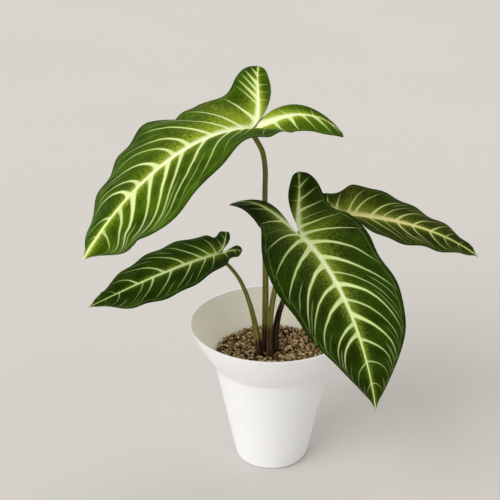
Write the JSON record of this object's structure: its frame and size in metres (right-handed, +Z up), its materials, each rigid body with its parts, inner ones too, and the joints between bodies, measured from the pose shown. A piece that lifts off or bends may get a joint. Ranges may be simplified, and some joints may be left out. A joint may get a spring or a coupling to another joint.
{
  "type": "potted arrowhead-leaved aroid plant",
  "caption": "Young aroid with arrowhead leaves, pale feathered veins and slim arching stalks, in a tapered white pot with a flared collar, filled with pumice gravel.",
  "frame": {"origin": "centre of the pot's underside, on the surface it stands on", "axes": "+Z up through the pot's axis, -Y towards the front of the plant, +X to the right seen from the front"},
  "size_m": [0.3906, 0.2945, 0.4077],
  "materials": {
    "pot_plastic": "smooth white moulded plastic, satin",
    "pumice": "rough beige-brown pumice stones",
    "leaf_light": "yellow-green leaf with broad cream veins, soft sheen",
    "leaf_dark": "dark green leaf with narrow pale veins, soft sheen",
    "stalk": "olive green stalk, brown-purple at its foot"
  },
  "bodies": {
    "root": {"pot": "pot_plastic", "gravel": "pumice", "leaf_a": "leaf_light", "leaf_b": "leaf_dark", "leaf_c": "leaf_dark", "leaf_d": "leaf_dark", "petiole_a": "stalk", "petiole_b": "stalk", "petiole_c": "stalk", "petiole_d": "stalk"}
  },
  "joints": []
}
